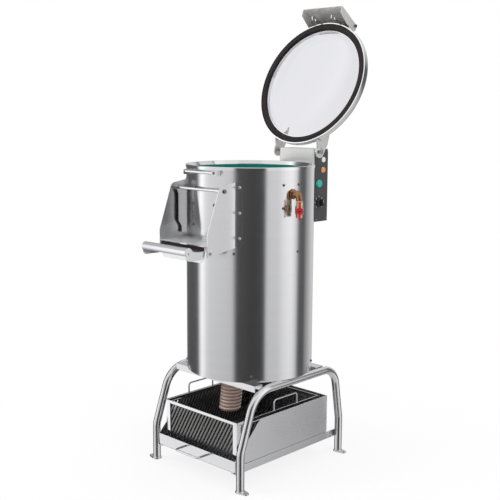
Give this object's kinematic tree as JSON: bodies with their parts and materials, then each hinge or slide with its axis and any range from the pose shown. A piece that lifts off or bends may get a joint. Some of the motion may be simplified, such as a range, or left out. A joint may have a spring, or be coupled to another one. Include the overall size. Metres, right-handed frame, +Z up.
{
  "type": "electric potato peeler",
  "caption": "Floor-standing electric potato peeler: steel drum on a tube stand, propped clear lid, front chute and hanging door, peel drawer with basket.",
  "frame": {"origin": "on the floor, under the middle of the whole machine with its lid open and its drawer shut", "axes": "+Z up; -Y is the front, where the chute and the drawer open; +X is the side of the water valve and the control panel"},
  "size_m": [0.5626, 0.9316, 1.7405],
  "materials": {
    "brushed_stainless": "satin, brushed round the drum",
    "polished_stainless": "polished",
    "dark_steel": "machined",
    "mesh_steel": "punched sheet",
    "abrasive_teal": "gritty",
    "black_rubber": "matt",
    "clear_plastic": "clear polycarbonate",
    "ribbed_pvc": "ribbed, slightly clear",
    "panel_grey": "matt",
    "white_lens": "gloss",
    "orange_lens": "gloss",
    "green_cap": "satin",
    "black_plastic": "matt",
    "red_paint": "gloss",
    "brass": "cast and turned",
    "motor_paint": "satin"
  },
  "bodies": {
    "root": {"left_stand_arch": "polished_stainless", "right_stand_arch": "polished_stainless", "front_cross_beam": "brushed_stainless", "rear_cross_beam": "brushed_stainless", "left_drawer_rail": "brushed_stainless", "right_drawer_rail": "brushed_stainless", "base_plate": "brushed_stainless", "outer_shell": "brushed_stainless", "rim_ring": "polished_stainless", "abrasive_liner": "abrasive_teal", "chamber_floor": "brushed_stainless", "bearing_housing": "dark_steel", "lower_bearing": "polished_stainless", "upper_bearing": "polished_stainless", "drive_belt": "black_rubber", "motor_mount": "brushed_stainless", "motor_body": "motor_paint", "drain_pipe": "brushed_stainless", "drain_hose": "ribbed_pvc", "chute_left_wing": "brushed_stainless", "chute_right_wing": "brushed_stainless", "chute_tray": "brushed_stainless", "door_rod": "polished_stainless", "latch_keeper": "polished_stainless", "lid_hinge_pin": "polished_stainless", "control_housing": "brushed_stainless", "housing_back_cover": "brushed_stainless", "housing_standoff": "brushed_stainless", "control_panel": "panel_grey", "white_lamp": "white_lens", "orange_lamp": "orange_lens", "button_bezel": "polished_stainless", "cable_gland": "black_plastic", "water_inlet_pipe": "brass", "valve_body": "brass"},
    "lid": {"lid_seal": "black_rubber", "lid_rim": "polished_stainless", "lid_dome": "clear_plastic", "lid_left_hinge_plate": "polished_stainless", "lid_right_hinge_plate": "polished_stainless", "latch_housing": "polished_stainless", "latch_pin": "dark_steel"},
    "latch": {"latch_hook": "polished_stainless"},
    "door": {"door_panel": "brushed_stainless", "door_seal": "black_rubber"},
    "drawer": {"pulp_drawer": "brushed_stainless"},
    "basket": {"basket_frame": "polished_stainless", "basket_front_mesh": "mesh_steel", "basket_rear_mesh": "mesh_steel", "basket_left_mesh": "mesh_steel", "basket_right_mesh": "mesh_steel", "basket_floor_mesh": "mesh_steel"},
    "disc": {"abrasive_disc": "abrasive_teal", "disc_shaft": "dark_steel", "driven_pulley": "dark_steel"},
    "motor_rotor": {"motor_shaft": "dark_steel", "drive_pulley": "dark_steel"},
    "lever": {"valve_lever": "red_paint"},
    "knob": {"selector_knob": "black_plastic"},
    "button": {"start_button": "green_cap"}
  },
  "joints": [
    {"name": "lid_hinge", "type": "hinge", "parent": "root", "child": "lid", "pos_m": [-0.01526, 0.23905, 1.1803], "axis": [1, 0, 0], "range_deg": [0, 112]},
    {"name": "latch_pivot", "type": "hinge", "parent": "lid", "child": "latch", "pos_m": [-0.01526, 0.45485, 1.66905], "axis": [-1, 0, 0], "range_deg": [0, 9]},
    {"name": "door_hinge", "type": "hinge", "parent": "root", "child": "door", "pos_m": [-0.01526, -0.29233, 1.0593], "axis": [-1, 0, 0], "range_deg": [0, 55]},
    {"name": "drawer_slide", "type": "slide", "parent": "root", "child": "drawer", "axis": [0, -1, 0], "range_m": [0, 0.22]},
    {"name": "basket_lift", "type": "slide", "parent": "drawer", "child": "basket", "axis": [0, 0, 1], "range_m": [0, 0.05]},
    {"name": "disc_spin", "type": "hinge", "parent": "root", "child": "disc", "pos_m": [-0.01526, -0.03295, 0.8], "axis": [0, 0, 1], "continuous": true},
    {"name": "motor_spin", "type": "hinge", "parent": "root", "child": "motor_rotor", "pos_m": [-0.01526, 0.12205, 0.6], "axis": [0, 0, 1], "continuous": true},
    {"name": "valve_turn", "type": "hinge", "parent": "root", "child": "lever", "pos_m": [0.27171, -0.07992, 0.988], "axis": [0.7071, -0.7071, 0], "range_deg": [0, 90]},
    {"name": "knob_turn", "type": "hinge", "parent": "root", "child": "knob", "pos_m": [0.08474, 0.25605, 0.9813], "axis": [1, 0, 0], "range_deg": [0, 270]},
    {"name": "button_press", "type": "slide", "parent": "root", "child": "button", "axis": [-1, 0, 0], "range_m": [0, 0.004], "stiffness_N_per_m": 400}
  ],
  "couplings": [
    {"joint": "motor_spin", "follows": "disc_spin", "ratio": 3.2}
  ]
}
